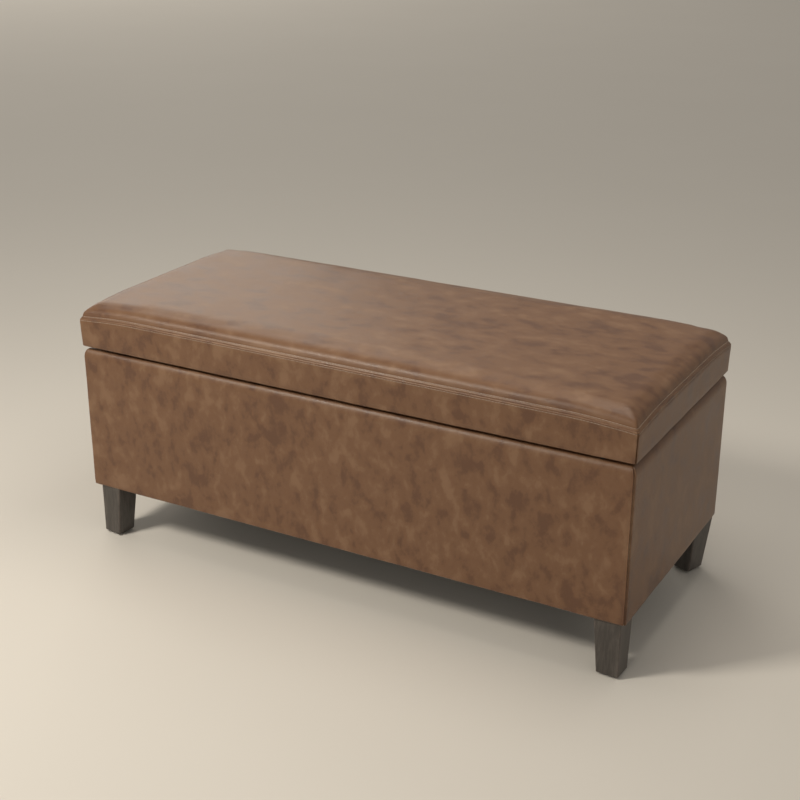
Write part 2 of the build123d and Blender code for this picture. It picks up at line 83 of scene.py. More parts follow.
BAND_UNEVEN = 0.7        # height of the waves in the bands, as a share of those in the walls
FELT_PRESSED = 0.8       # thickness of felt once it is pressed down, as a share
THREAD_PROUD = 0.5       # how far a thread's middle stands off the leather, in thread radii
FACING = 0.9             # a face points along an axis when its normal has this much of it
STEEP_LIP = 0.0003       # rise and fall of the leather turned into a seam
WALL_FELT_GRID = 0.02    # spacing of the cross lines on the felt round the walls
WALL_FELT_CORNER = 0.004  # radius of that felt's corners
FOLD_EDGE = 0.0004       # half the width of the step at a folded edge of felt
FOLD_STEP = 0.0005       # height of that step
STAPLE_LEG = 0.0006      # how far a staple's end turns up into the cloth
STAPLE_PROUD = 0.0002    # how far a staple lies below the cloth
SWELL_FRAMES = 20        # steps of the cloth simulation

# Distance between the soft waves in each kind of sheet, and their height in felt, in metres.
COVER_WAVES = 0.085
BAND_WAVES = 0.06
SEAT_WAVES = 0.11
WALL_FELT_WAVES = 0.09
PANEL_WAVES = 0.12
WALL_FELT_HEIGHT = 0.0008
FLOOR_FELT_HEIGHT = 0.0008
LID_FELT_HEIGHT = 0.0007
UNDER_CLOTH_HEIGHT = 0.0012


def joined_box(*nodes):
    """Lowest and highest corner of several CAD nodes together."""
    boxes = [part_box(node) for node in nodes]
    low = Vector(min(box[0][axis] for box in boxes) for axis in range(3))
    high = Vector(max(box[1][axis] for box in boxes) for axis in range(3))
    return low, high


BODY_LOW, BODY_HIGH = joined_box(*(wall + "_cover" for wall in WALLS))
LID_LOW, LID_HIGH = joined_box("lid_top_cover", *("lid_" + wall + "_band" for wall in WALLS))
SEAM_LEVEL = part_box("lid_top_cover")[0].z


# ---- Settings ---------------------------------------------------------------------------------
def length(name, description, default):
    """A length property, in metres."""
    return FloatProperty(name=name, description=description, default=default, unit="LENGTH",
                         subtype="DISTANCE", precision=5)


def colour(name, description, default):
    """A colour property, in linear light."""
    return FloatVectorProperty(name=name, description=description, default=default,
                               subtype="COLOR", size=3, min=0.0, max=1.0)


def place(name, description, default):
    """A place in the room, in metres."""
    return FloatVectorProperty(name=name, description=description, default=default,
                               subtype="TRANSLATION", unit="LENGTH", size=3)


def power(name, description, default):
    """A lamp's power, in watts."""
    return FloatProperty(name=name, description=description, default=default, min=0.0,
                         unit="POWER")


class BenchCoverSettings(PropertyGroup):
    """Leather on the body."""
    thickness: length("Thickness", "Thickness of the coated cloth", 0.0012)
    corner_round: length("Corner round", "Radius of the upright corners", 0.005)
    top_roll: length("Top roll", "Radius of the padded top edge", 0.0105)
    roll_stretch: FloatProperty(name="Roll stretch", description="Height of the roll for its width",
                                default=1.7, min=1.0)
    bottom_round: length("Bottom round", "Radius of the bottom edge", 0.004)
    seam_depth: length("Seam depth", "How far the corner seams pull in", 0.0026)
    hem_down: length("Inside hem", "Height of the hem inside the box", 0.030)
    hem_under: length("Under hem", "Width of the hem under the box", 0.018)
    unevenness: length("Unevenness", "Height of the soft waves in the surface", 0.0012)
    foam_gap: length("Foam gap", "Distance from the leather's outside to the foam", 0.0024)
    foam_thickness: length("Foam thickness", "Thickness of the foam on the walls", 0.0055)


class BenchLidSettings(PropertyGroup):
    """Boxed cushion on the lid."""
    corner_round: length("Corner round", "Radius of the upright corners", 0.005)
    bottom_round: length("Bottom round", "Radius of the bottom edge", 0.0035)
    hem_width: length("Hem width", "Width of the hem under the lid", 0.024)
    seam_tuck: length("Seam tuck", "How far both panels turn in at the seam", 0.0018)
    lip: length("Seam lip", "How far the seam lies behind the panels beside it", 0.0007)
    band_lean: length("Band lean", "How far the band leans in, from its stitches to the seam",
                      0.0012)
    seat_lean: length("Seat lean", "How far the seat leans in, from the seam past its stitches",
                      0.0032)
    seam_bow: length("Seam bow", "How much higher the seam stands along the sides than at corners",
                     0.0075)
    bow_reach: length("Bow reach", "Distance over which the seam rises from a corner", 0.13)
    crown_reach: length("Crown reach", "Width of the rounded edge of the seat", 0.036)
    crown_rise: length("Crown rise", "Height of the rounded edge of the seat", 0.0235)
    fullness: FloatProperty(name="Fullness", description="2 is a round edge, more is a fuller one",
                            default=2.6, min=1.5, max=4.0)
    dome: length("Dome", "Extra height in the middle of the seat", 0.003)
    flare: length("Flare", "How far the band leans out from bottom to seam", 0.0015)
    pressure: FloatProperty(name="Pressure", description="How hard the foam swells the leather",
                            default=4.0, min=0.0)
    ease: FloatProperty(name="Ease", description="Share of spare leather over the seat",
                        default=0.003, min=0.0, max=0.1)
    swell: length("Swell", "Most that the leather may move as it swells", 0.0025)
    unevenness: length("Unevenness", "Height of the soft waves in the seat", 0.0016)


class BenchStitchSettings(PropertyGroup):
    """Topstitching on both sides of the lid seam."""
    offset: length("Offset", "Distance from the seam to each row", 0.0040)
    pitch: length("Pitch", "Distance from one stitch to the next", 0.0058)
    stitch: length("Stitch", "Length of one stitch", 0.0044)
    thread: length("Thread", "Radius of the thread", 0.00048)
    channel: length("Channel", "How far a row pulls the leather in", 0.0008)


class BenchFixingSettings(PropertyGroup):
    """Felt and the staples that hold it."""
    felt: length("Felt", "Thickness of the felt", 0.0012)
    fold: length("Fold", "Width of the folded edge", 0.016)
    staple_length: length("Staple", "Length of a staple's crown", 0.0105)
    staple_wire: length("Staple wire", "Thickness of the staple's wire", 0.0009)
    staple_pitch: length("Staple pitch", "Distance from one staple to the next", 0.048)
    staple_margin: length("Staple margin", "Distance from the edge to the staples", 0.007)


class BenchFinishSettings(PropertyGroup):
    """Colours of the finishes."""
    leather_dark: colour("Leather dark", "Rubbed-in blotches", (0.116, 0.057, 0.032))
    leather_mid: colour("Leather", "Ground colour of the leather", (0.160, 0.083, 0.044))
    leather_light: colour("Leather light", "Pulled-up highlights", (0.202, 0.114, 0.064))
    thread: colour("Thread", "Topstitching thread", (0.44, 0.34, 0.26))
    leg_stain: colour("Leg stain", "Espresso stain on the legs", (0.068, 0.059, 0.052))
    felt: colour("Felt", "Lining felt", (0.020, 0.020, 0.022))


class BenchStageSettings(PropertyGroup):
    """Camera, floor and lights."""
    focal_length: FloatProperty(name="Focal length", description="Camera lens, in millimetres",
                                default=63.96, min=10.0)
    camera_place: place("Camera place", "Where the camera stands", (1.2037, -2.1317, 1.2980))
    azimuth: FloatProperty(name="Azimuth", description="Camera's turn to the right of the front",
                           default=math.radians(29.35), subtype="ANGLE", unit="ROTATION")
    elevation: FloatProperty(name="Elevation", description="Camera's height above level",
                             default=math.radians(22.03), subtype="ANGLE", unit="ROTATION")
    floor_radius: length("Floor radius", "Radius of the floor", 40.0)
    key_place: place("Key place", "Small bright lamp in front, on the left", (-1.25, -1.8, 2.14))
    key_size: length("Key size", "Side of that lamp", 0.55)
    key_power: power("Key power", "Power of that lamp", 52.0)
    window_place: place("Window place", "Big soft lamp far behind the left end", (-9.8, 8.53, 6.6))
    window_size: length("Window size", "Width of that lamp", 8.4)
    window_power: power("Window power", "Power of that lamp", 430.0)
    fill_place: place("Fill place", "Wide soft lamp far in front, on the left", (-2.2, -4.0, 1.5))
    fill_size: length("Fill size", "Side of that lamp", 2.6)
    fill_power: power("Fill power", "Power of that lamp", 12.0)
    top_place: place("Overhead place", "Soft lamp over the seat", (0.35, 0.05, 1.65))
    top_size: length("Overhead size", "Side of that lamp", 0.8)
    top_power: power("Overhead power", "Power of that lamp", 7.2)
    side_place: place("Side place", "Soft lamp low on the right", (2.6, -1.7, 0.9))
    side_size: length("Side size", "Side of that lamp", 1.2)
    side_power: power("Side power", "Power of that lamp", 6.0)
    lamp_tint: colour("Lamp tint", "Colour of the lamps", (1.0, 0.93, 0.82))
    sky: FloatProperty(name="Sky", description="Strength of the light from all round",
                       default=0.30, min=0.0)


# ---- Modelling helpers ------------------------------------------------------------------------
def middle(element):
    """Centre of a vertex, edge or face."""
    if isinstance(element, bmesh.types.BMVert):
        return element.co
    points = [vert.co for vert in element.verts]
    return sum(points, Vector()) / len(points)


def span(edge):
    """An edge as a vector."""
    return edge.verts[1].co - edge.verts[0].co


def pick(kind, test):
    """Select the open mesh's vertices, edges or faces that pass the test, and nothing else."""
    bpy.ops.mesh.select_mode(type=kind)
    bpy.ops.mesh.select_all(action="DESELECT")
    mesh = bmesh.from_edit_mesh(bpy.context.object.data)
    elements = {"VERT": mesh.verts, "EDGE": mesh.edges, "FACE": mesh.faces}[kind]
    chosen = [element for element in elements if test(element)]
    if not chosen:
        raise RuntimeError("nothing to select on " + bpy.context.object.name)
    for element in chosen:
        element.select_set(True)
    mesh.select_flush_mode()
    bmesh.update_edit_mesh(bpy.context.object.data)


def pick_level(kind, *levels):
    """Select the edges or faces whose middle is at one of these heights."""
    pick(kind, lambda element: any(abs(middle(element).z - level) < TINY for level in levels))


def move(x=0.0, y=0.0, z=0.0):
    """Move what is selected."""
    bpy.ops.transform.translate(value=(x, y, z))


def start_box(name, low, high):
    """A box between two corners, open in edit mode."""
    bpy.ops.object.select_all(action="DESELECT")
    bpy.ops.mesh.primitive_cube_add(size=1, location=(low + high) / 2, scale=high - low)
    return open_piece(name)


def start_grid(name, columns, rows):
    """A flat grid from -1 to 1, open in edit mode."""
    bpy.ops.object.select_all(action="DESELECT")
    bpy.ops.mesh.primitive_grid_add(x_subdivisions=columns, y_subdivisions=rows, size=2)
    return open_piece(name)


def open_piece(name):
    """Name the new object, apply its place and open it in edit mode."""
    piece = bpy.context.object
    bpy.ops.object.transform_apply(location=True, rotation=True, scale=True)
    piece.name = name
    piece.data.name = name
    bpy.ops.object.mode_set(mode="EDIT")
    return piece


def close_piece(smooth_degrees=40):
    """Leave edit mode with smooth shading."""
    bpy.ops.object.mode_set(mode="OBJECT")
    bpy.ops.object.shade_smooth_by_angle(angle=math.radians(smooth_degrees))


def make_active(piece):
    """Make one piece the only selected object."""
    bpy.ops.object.select_all(action="DESELECT")
    piece.select_set(True)
    bpy.context.view_layer.objects.active = piece


def reopen(piece):
    """Open a finished mesh in edit mode again."""
    make_active(piece)
    bpy.ops.object.mode_set(mode="EDIT")


def finish_modifier(piece, kind, **values):
    """Add a modifier, set its values and apply it."""
    make_active(piece)
    modifier = piece.modifiers.new(kind.title(), kind)
    for key, value in values.items():
        setattr(modifier, key, value)
    bpy.ops.object.modifier_apply(modifier=modifier.name)


def uneven(piece, height, wavelength):
    """Soft waves over a surface, as in cloth pulled over foam."""
    texture = bpy.data.textures.new(piece.name + "_waves", "CLOUDS")
    texture.noise_scale = wavelength
    texture.noise_depth = 1
    finish_modifier(piece, "DISPLACE", texture=texture, texture_coords="LOCAL", strength=height)
    bpy.data.textures.remove(texture)


def thicken(piece, thickness, smooth_degrees=50):
    """Give a sheet its thickness, inward from the face that shows, and smooth shading."""
    finish_modifier(piece, "SOLIDIFY", thickness=thickness, offset=-1.0)
    bpy.ops.object.shade_smooth_by_angle(angle=math.radians(smooth_degrees))


def mark_corner_seams(on_seam):
    """Mark where the walls are sewn together, before the surface is shaped."""
    pick("EDGE", lambda edge: all(on_seam(vert.co) for vert in edge.verts))
    bpy.ops.mesh.mark_seam()


def split_walls(shell, names):
    """Part a shell at its marked seams into one piece for each wall."""
    pick("EDGE", lambda edge: edge.seam)
    bpy.ops.mesh.edge_split(type="EDGE")
    bpy.ops.mesh.select_all(action="SELECT")
    bpy.ops.mesh.separate(type="LOOSE")
    bpy.ops.object.mode_set(mode="OBJECT")
    parts = [part for part in bpy.context.selected_objects if part.type == "MESH"]
    if len(parts) != len(names):
        raise RuntimeError(shell.name + " parted into " + str(len(parts)) + " pieces")
    walls = {}
    for part in parts:
        verts = part.data.vertices
        centre = sum((vert.co for vert in verts), Vector()) / len(verts)
        if abs(centre.x) > abs(centre.y):
            wall = "right" if centre.x > 0 else "left"
        else:
            wall = "back" if centre.y > 0 else "front"
        walls[wall] = part
    for wall, part in walls.items():
        part.name = names[wall] + "_parting"
    for wall, part in walls.items():
        part.name = names[wall]
        part.data.name = names[wall]
    return walls


def corner_test(low, high, reach):
    """Test for points on the upright planes that halve the corners of a box."""
    def on_seam(point):
        side = min(high.x - point.x, point.x - low.x)
        end = min(high.y - point.y, point.y - low.y)
        return abs(side - end) < TINY and side < reach
    return on_seam


def pull_in_corners(on_seam, depth):
    """Pull the corner seams in towards the middle."""
    step = depth / math.sqrt(2)
    for x_sign in (-1, 1):
        for y_sign in (-1, 1):
            pick("VERT", lambda vert: on_seam(vert.co) and vert.co.x * x_sign > 0
                 and vert.co.y * y_sign > 0)
            move(-x_sign * step, -y_sign * step)


def square_corners(level):
    """Close the small rounds of the ring at one height into four plain corners."""
    pick("EDGE", lambda edge: abs(middle(edge).z - level) < TINY and abs(span(edge).z) < TINY
         and edge.calc_length() < 0.01)
    bpy.ops.mesh.merge(type="COLLAPSE")


def round_edges(radius, facets):
    """Round the selected edges."""
    bpy.ops.mesh.bevel(offset=radius, segments=facets, affect="EDGES")


def round_bottom(low, radius):
    """Round the edge all along the bottom of a shell."""
    pick_level("EDGE", low.z)
    round_edges(radius, EDGE_STEPS)


def turn_under(low, hem):
    """Leave a hem under the bottom of a shell, and open what is inside it."""
    square_corners(low.z)
    pick_level("FACE", low.z)
    bpy.ops.mesh.inset(thickness=hem)
    bpy.ops.mesh.delete(type="FACE")


def cut_across(low, high, wall_rows, spacing):
    """Cross lines over the long faces, for soft waves and smooth rolls."""
    size = high - low
    for axis, cuts in ((0, round(size.x / spacing)), (1, round(size.y / spacing)), (2, wall_rows)):
        pick("EDGE", lambda edge: abs(span(edge)[axis]) > size[axis] / 2)
        bpy.ops.mesh.subdivide(number_cuts=cuts)


# ---- Finishes ---------------------------------------------------------------------------------
def new_group(name, inputs, outputs):
    """A shader node group with named sockets. Returns the group and its two ends."""
    group = bpy.data.node_groups.new(name, "ShaderNodeTree")
    for label, kind, value in inputs:
        socket = group.interface.new_socket(label, in_out="INPUT", socket_type="NodeSocket" + kind)
        if value is not None:
            socket.default_value = value
    for label, kind in outputs:
        group.interface.new_socket(label, in_out="OUTPUT", socket_type="NodeSocket" + kind)
    return group, group.nodes.new("NodeGroupInput"), group.nodes.new("NodeGroupOutput")


def add_noise(tree, vector, scale, detail=3.0, roughness=0.5, distortion=0.0):
    """A noise texture. Its scale is a number or a socket."""
    node = tree.nodes.new("ShaderNodeTexNoise")
    tree.links.new(vector, node.inputs["Vector"])
    feed(tree, node.inputs["Scale"], scale)
    node.inputs["Detail"].default_value = detail
    node.inputs["Roughness"].default_value = roughness
    node.inputs["Distortion"].default_value = distortion
    return node.outputs["Fac"]


def feed(tree, socket, value):
    """Link a socket, or set a plain value."""
    if isinstance(value, bpy.types.NodeSocket):
        tree.links.new(value, socket)
    else:
        socket.default_value = value


def add_math(tree, operation, first, second=0.0, clamp=False):
    """A math node on sockets or numbers."""
    node = tree.nodes.new("ShaderNodeMath")
    node.operation = operation
    node.use_clamp = clamp
    feed(tree, node.inputs[0], first)
    feed(tree, node.inputs[1], second)
    return node.outputs[0]


def add_range(tree, value, low, high, to_low=0.0, to_high=1.0):
    """Map a value softly from one range to another."""
    node = tree.nodes.new("ShaderNodeMapRange")
    node.interpolation_type = "SMOOTHSTEP"
    feed(tree, node.inputs["Value"], value)
    for label, number in (("From Min", low), ("From Max", high), ("To Min", to_low),
                          ("To Max", to_high)):
        node.inputs[label].default_value = number
    return node.outputs["Result"]


def add_mix(tree, factor, first, second):
    """A colour between two colours."""
    node = tree.nodes.new("ShaderNodeMix")
    node.data_type = "RGBA"
    feed(tree, node.inputs["Factor"], factor)
    feed(tree, node.inputs[6], first)
    feed(tree, node.inputs[7], second)
    return node.outputs[2]


def add_mapping(tree, scale=(1, 1, 1), rotation=(0, 0, 0)):
    """Object coordinates, stretched and turned."""
    coordinates = tree.nodes.new("ShaderNodeTexCoord")
    node = tree.nodes.new("ShaderNodeMapping")
    node.inputs["Scale"].default_value = scale
    node.inputs["Rotation"].default_value = rotation
    tree.links.new(coordinates.outputs["Object"], node.inputs["Vector"])
    return node.outputs["Vector"]


def opaque(rgb, share=1.0):
    """A colour with full alpha, made darker or lighter by a share."""
    return (*(part * share for part in rgb), 1.0)


def add_layers(tree, *layers):
    """The sum of several values, each with its share."""
    total = None
    for value, share in layers:
        layer = add_math(tree, "MULTIPLY", value, share)
        total = layer if total is None else add_math(tree, "ADD", total, layer)
    return total


def two_tone(tree, value, spread, dark, light):
    """A colour that goes from dark to light as a value goes from below to above the middle."""
    return add_mix(tree, add_range(tree, value, 0.5 - spread, 0.5 + spread), dark, light)


# Share, fineness against the blotches, detail, roughness and distortion of each noise in leather.
MOTTLE_LAYERS = (
    (0.52, 1.0, 3.0, 0.45, 0.3),
    (0.20, 2.7, 4.0, 0.5, 0.3),
    (0.20, 0.28, 2.0, 0.5, 0.0),
    (0.08, 11.0, 4.0, 0.65, 0.0),
)


def mottle_group():
    """Rubbed two-tone leather: colour, roughness and mottle mask."""
    group, start, end = new_group(
        "Rubbed Leather",
        (("Vector", "Vector", None), ("Dark", "Color", None), ("Ground", "Color", None),
         ("Light", "Color", None), ("Blotches", "Float", 24.0), ("Contrast", "Float", 1.0)),
        (("Color", "Color"), ("Roughness", "Float"), ("Mottle", "Float")))
    layers = []
    for share, finer, detail, roughness, distortion in MOTTLE_LAYERS:
        scale = add_math(group, "MULTIPLY", start.outputs["Blotches"], finer)
        noise = add_noise(group, start.outputs["Vector"], scale, detail, roughness, distortion)
        layers.append((noise, share))
    centred = add_math(group, "SUBTRACT", add_layers(group, *layers), 0.5)
    stronger = add_math(group, "MULTIPLY", centred, start.outputs["Contrast"])
    mottle = add_math(group, "ADD", stronger, 0.5)
    dark_mask = add_range(group, mottle, 0.33, 0.50, 1.0, 0.0)
    light_mask = add_range(group, mottle, 0.50, 0.69)
    shade = add_mix(group, dark_mask, start.outputs["Ground"], start.outputs["Dark"])
    shade = add_mix(group, light_mask, shade, start.outputs["Light"])
    group.links.new(shade, end.inputs["Color"])
    group.links.new(add_range(group, mottle, 0.35, 0.65, 0.30, 0.37), end.inputs["Roughness"])
    group.links.new(mottle, end.inputs["Mottle"])
    return group


def grain_group():
    """Pebbled grain of coated cloth, as a height."""
    group, start, end = new_group(
        "Leather Grain", (("Vector", "Vector", None), ("Pebbles", "Float", 900.0)),
        (("Height", "Float"),))
    cells = group.nodes.new("ShaderNodeTexVoronoi")
    cells.feature = "DISTANCE_TO_EDGE"
    group.links.new(start.outputs["Vector"], cells.inputs["Vector"])
    group.links.new(start.outputs["Pebbles"], cells.inputs["Scale"])
    bump = add_range(group, cells.outputs["Distance"], 0.0, 0.22)
    folds = add_noise(group, start.outputs["Vector"],
                      add_math(group, "MULTIPLY", start.outputs["Pebbles"], 0.22), 3.0, 0.6)
    group.links.new(add_layers(group, (bump, 0.6), (folds, 0.8)), end.inputs["Height"])
    return group


def edge_wear_group():
    """Mask of the raised edges, where a finish rubs thin."""
    group, start, end = new_group(
        "Edge Wear", (("Vector", "Vector", None), ("Low", "Float", 0.52), ("High", "Float", 0.6)),
        (("Wear", "Float"),))
    geometry = group.nodes.new("ShaderNodeNewGeometry")
    patches = add_noise(group, start.outputs["Vector"], 60.0, 4.0, 0.6)
    edge = group.nodes.new("ShaderNodeMapRange")
    group.links.new(geometry.outputs["Pointiness"], edge.inputs["Value"])
    group.links.new(start.outputs["Low"], edge.inputs["From Min"])
    group.links.new(start.outputs["High"], edge.inputs["From Max"])
    wear = add_math(group, "MULTIPLY", edge.outputs["Result"],
                    add_range(group, patches, 0.35, 0.65), clamp=True)
    group.links.new(wear, end.inputs["Wear"])
    return group


def place_group(tree, group, **inputs):
    """Put a group into a material, with its values."""
    node = tree.nodes.new("ShaderNodeGroup")
    node.node_tree = group
    for label, value in inputs.items():
        feed(tree, node.inputs[label], value)
    return node


def new_material(name, **shader_values):
    """A material with a Principled shader set to plain values."""
    material = bpy.data.materials.new(name)
    material.use_nodes = True
    shader = material.node_tree.nodes["Principled BSDF"]
    for label, value in shader_values.items():
        shader.inputs[label.replace("_", " ")].default_value = value
    return material, material.node_tree, shader


def add_bump(tree, shader, height, distance, strength):
    """Bump on the shader's normal."""
    node = tree.nodes.new("ShaderNodeBump")
    node.inputs["Distance"].default_value = distance
    node.inputs["Strength"].default_value = strength
    tree.links.new(height, node.inputs["Height"])
    tree.links.new(node.outputs["Normal"], shader.inputs["Normal"])


def connect(tree, shader, **outputs):
    """Link colours and values to the shader's own sockets."""
    for label, output in outputs.items():
        tree.links.new(output, shader.inputs[label.replace("_", " ")])


def leather(name, stretch, turn, blotches, contrast):
    """Distressed brown leather. Stretch sets which way the blotches run."""
    finish = bpy.context.scene.bench_finish
    material, tree, shader = new_material(name, IOR=1.38)
    vector = add_mapping(tree, stretch, turn)
    mottle = place_group(tree, bpy.data.node_groups["Rubbed Leather"], Vector=vector,
                         Dark=opaque(finish.leather_dark), Ground=opaque(finish.leather_mid),
                         Light=opaque(finish.leather_light), Blotches=blotches, Contrast=contrast)
    grain = place_group(tree, bpy.data.node_groups["Leather Grain"], Vector=add_mapping(tree))
    connect(tree, shader, Base_Color=mottle.outputs["Color"],
            Roughness=mottle.outputs["Roughness"])
    add_bump(tree, shader, grain.outputs["Height"], 0.00025, 0.35)
    return material


def thread_material():
    """Twisted sewing thread."""
    finish = bpy.context.scene.bench_finish
    material, tree, shader = new_material("thread", Roughness=0.75)
    twist = add_noise(tree, add_mapping(tree), 900.0, 2.0)
    connect(tree, shader, Base_Color=two_tone(tree, twist, 0.15, opaque(finish.thread, 0.6),
                                              opaque(finish.thread)))
    add_bump(tree, shader, twist, 0.0002, 0.5)
    return material


def stained_wood():
    """Espresso stain on the legs, a little worn along the edges."""
    finish = bpy.context.scene.bench_finish
    material, tree, shader = new_material("leg_wood", IOR=1.5)
    vector = add_mapping(tree, (1.0, 1.0, 0.12))
    fibre = add_noise(tree, vector, 260.0, 5.0, 0.65, 0.6)
    broad = add_noise(tree, vector, 40.0, 3.0, 0.5, 0.8)
    figure = add_layers(tree, (fibre, 0.55), (broad, 0.45))
    shade = two_tone(tree, figure, 0.15, opaque(finish.leg_stain, 0.62),
                     opaque(finish.leg_stain, 1.35))
    wear = place_group(tree, bpy.data.node_groups["Edge Wear"], Vector=add_mapping(tree))
    worn = add_math(tree, "MULTIPLY", wear.outputs["Wear"], 0.5)
    connect(tree, shader, Base_Color=add_mix(tree, worn, shade, (0.13, 0.10, 0.085, 1.0)),
            Roughness=add_range(tree, figure, 0.3, 0.7, 0.30, 0.42))
    add_bump(tree, shader, fibre, 0.0002, 0.25)
    return material


def felt(name, rgb, scale=1.0):
    """Needle felt: short matted fibres with a dull sheen."""
    material, tree, shader = new_material(name, Roughness=0.95, Sheen_Weight=0.06,
                                          Sheen_Roughness=0.5)
    vector = add_mapping(tree)
    fibres = add_noise(tree, vector, 1400.0 * scale, 4.0, 0.7, 1.5)
    clumps = add_noise(tree, vector, 160.0 * scale, 4.0, 0.6, 0.4)
    figure = add_layers(tree, (fibres, 0.6), (clumps, 0.4))
    connect(tree, shader,
            Base_Color=two_tone(tree, figure, 0.12, opaque(rgb, 0.55), opaque(rgb, 1.7)))
    add_bump(tree, shader, figure, 0.0006, 0.6)
    return material


def raw_wood(name, light, dark, layers):
    """Bare plywood or softwood. Layers gives the plies' count to a metre of height."""
    material, tree, shader = new_material(name, Roughness=0.62)
    fibre = add_noise(tree, add_mapping(tree, (0.18, 1.0, 1.0)), 190.0, 5.0, 0.65, 1.2)
    ply = tree.nodes.new("ShaderNodeTexWave")
    ply.bands_direction = "Z"
    ply.inputs["Scale"].default_value = layers
    ply.inputs["Distortion"].default_value = 0.6
    tree.links.new(add_mapping(tree), ply.inputs["Vector"])
    figure = add_layers(tree, (fibre, 0.75), (ply.outputs["Fac"], 0.25))
    connect(tree, shader, Base_Color=two_tone(tree, figure, 0.2, opaque(dark), opaque(light)))
    add_bump(tree, shader, fibre, 0.0003, 0.3)
    return material


def metal(name, rgb, roughness, grain, wear_rgb):
    """Plated or painted steel with a fine brushed grain and rubbed edges."""
    material, tree, shader = new_material(name, Metallic=1.0)
    brush = add_noise(tree, add_mapping(tree, (1.0, 1.0, 0.08)), grain, 3.0, 0.6)
    cloud = add_noise(tree, add_mapping(tree), 45.0)
    wear = place_group(tree, bpy.data.node_groups["Edge Wear"], Vector=add_mapping(tree))
    shade = two_tone(tree, cloud, 0.15, opaque(rgb, 0.8), opaque(rgb))
    connect(tree, shader,
            Base_Color=add_mix(tree, wear.outputs["Wear"], shade, opaque(wear_rgb)),
            Roughness=add_range(tree, brush, 0.3, 0.7, roughness - 0.06, roughness + 0.08))
    add_bump(tree, shader, brush, 0.0001, 0.2)
    return material


def moulded(name, rgb, roughness):
    """Moulded plastic, rubber or foam with a fine even texture."""
    material, tree, shader = new_material(name)
    spark = add_noise(tree, add_mapping(tree), 1100.0, 3.0, 0.6)
    connect(tree, shader,
            Base_Color=two_tone(tree, spark, 0.15, opaque(rgb, 0.85), opaque(rgb)),
            Roughness=add_range(tree, spark, 0.3, 0.7, roughness - 0.08, roughness + 0.08))
    add_bump(tree, shader, spark, 0.0002, 0.3)
    return material


class BENCH_OT_finishes(Operator):
    """Make every finish and put it on the CAD nodes by their material slot"""
    bl_idname = "bench.finishes"
    bl_label = "Finishes"

    def execute(self, context):
        finish = context.scene.bench_finish
        mottle_group()
        grain_group()
        edge_wear_group()
        materials = {
            "body_leather": leather("body_leather", (1.0, 1.0, 0.72), (0.0, 0.35, 0.0), 34.0, 1.6),
            "lid_leather": leather("lid_leather", (0.62, 1.0, 1.0), (0.0, 0.0, 0.25), 34.0, 1.35),
            "thread": thread_material(),
            "leg_wood": stained_wood(),
            "plywood": raw_wood("plywood", (0.62, 0.45, 0.27), (0.42, 0.28, 0.15), 90.0),
            "pine": raw_wood("pine", (0.70, 0.50, 0.28), (0.52, 0.34, 0.17), 12.0),
            "foam": moulded("foam", (0.78, 0.73, 0.58), 0.9),
            "lining": felt("lining", finish.felt),
            "dust_cloth": felt("dust_cloth", [part * 0.8 for part in finish.felt], 0.7),
            "glide_plastic": moulded("glide_plastic", (0.020, 0.020, 0.021), 0.55),
            "bumper_rubber": moulded("bumper_rubber", (0.016, 0.016, 0.016), 0.7),
            "zinc_steel": metal("zinc_steel", (0.60, 0.61, 0.62), 0.34, 700.0, (0.68, 0.69, 0.70)),
            "stay_steel": metal("stay_steel", (0.09, 0.09, 0.095), 0.42, 500.0,
                                (0.125, 0.125, 0.13)),
        }
        for slot, material in materials.items():
            material.name = finish_name(slot)
        for part in frame["record"]["subparts"]:
            data = frame["nodes"][part["node"]].data
            data.materials.clear()
            data.materials.append(bpy.data.materials[finish_name(part["material_slot"])])
        return {"FINISHED"}


def finish_name(slot):
    """Name of the finish for a material slot."""
    return slot.replace("_", " ").title()


def dress(piece, finish, body, slot, *nodes):
    """Give a piece its finish, body and the CAD nodes that it stands for. Slot is not used."""
    piece.data.materials.clear()
    piece.data.materials.append(bpy.data.materials[finish_name(finish)])
    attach(piece, body)
    if nodes:
        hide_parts(*nodes)


# ---- Body covers ------------------------------------------------------------------------------
def wall_box(name, low, high, corner, top_roll):
    """A box with rounded upright corners and a rolled top edge, open in edit mode."""
    shell = start_box(name, low, high)
    wide = max(corner, top_roll * ROLL_CLEARANCE)
    pick("EDGE", lambda edge: abs(span(edge).z) > TINY)
    round_edges(wide, ROUND_STEPS)
    if top_roll:
        pick_level("EDGE", high.z)
        round_edges(top_roll, ROUND_STEPS)
        tighten_corners(high, wide, corner)
        deepen_roll(high, top_roll)
    return shell


def deepen_roll(high, roll):
    """Stretch the rolled edge downwards, so that it turns over more slowly."""
    ratio = bpy.context.scene.bench_covers.roll_stretch
    mesh = bmesh.from_edit_mesh(bpy.context.object.data)
    for vert in mesh.verts:
        depth = high.z - vert.co.z
        if depth < roll + TINY:
            vert.co.z = high.z - depth * ratio
    bmesh.update_edit_mesh(bpy.context.object.data)


def tighten_corners(high, wide, narrow):
    """Push wide upright corners out to a narrower round, and leave the roll above them."""
    ratio = ((wide - narrow) * math.sqrt(2) + narrow) / wide
    exponent = 1 / (0.5 - math.log2(ratio))
    mesh = bmesh.from_edit_mesh(bpy.context.object.data)
    for vert in mesh.verts:
        x = abs(vert.co.x) - (high.x - wide)
        y = abs(vert.co.y) - (high.y - wide)
        if x > 0 and y > 0:
            reach = (x ** exponent + y ** exponent) ** (1 / exponent)
            spread = math.hypot(x, y) / reach
            vert.co.x += math.copysign(x * (spread - 1), vert.co.x)
            vert.co.y += math.copysign(y * (spread - 1), vert.co.y)
    bmesh.update_edit_mesh(bpy.context.object.data)


